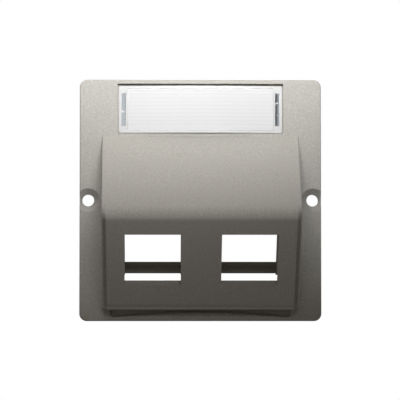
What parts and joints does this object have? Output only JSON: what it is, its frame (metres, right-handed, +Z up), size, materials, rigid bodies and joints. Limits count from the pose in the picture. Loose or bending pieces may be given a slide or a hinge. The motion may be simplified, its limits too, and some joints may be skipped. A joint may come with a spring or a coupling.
{
  "type": "keystone faceplate",
  "caption": "Square wall faceplate with a sloping hood for keystone jacks facing down, a clear snap-in label cover and countersunk side screw holes.",
  "frame": {"origin": "middle of the plate's back plane, halfway between the two screw holes", "axes": "+X to the right seen from the front, +Z up the wall, and the front faces -Y"},
  "size_m": [0.0644, 0.0251, 0.0644],
  "materials": {
    "satin_plastic": "satin champagne grey with a fine metallic fleck",
    "clear_plastic": "polished clear plastic",
    "label_paper": "matt white paper with faint printed rules"
  },
  "bodies": {
    "root": {"faceplate": "satin_plastic", "label_window": "clear_plastic", "label_card": "label_paper"}
  },
  "joints": []
}
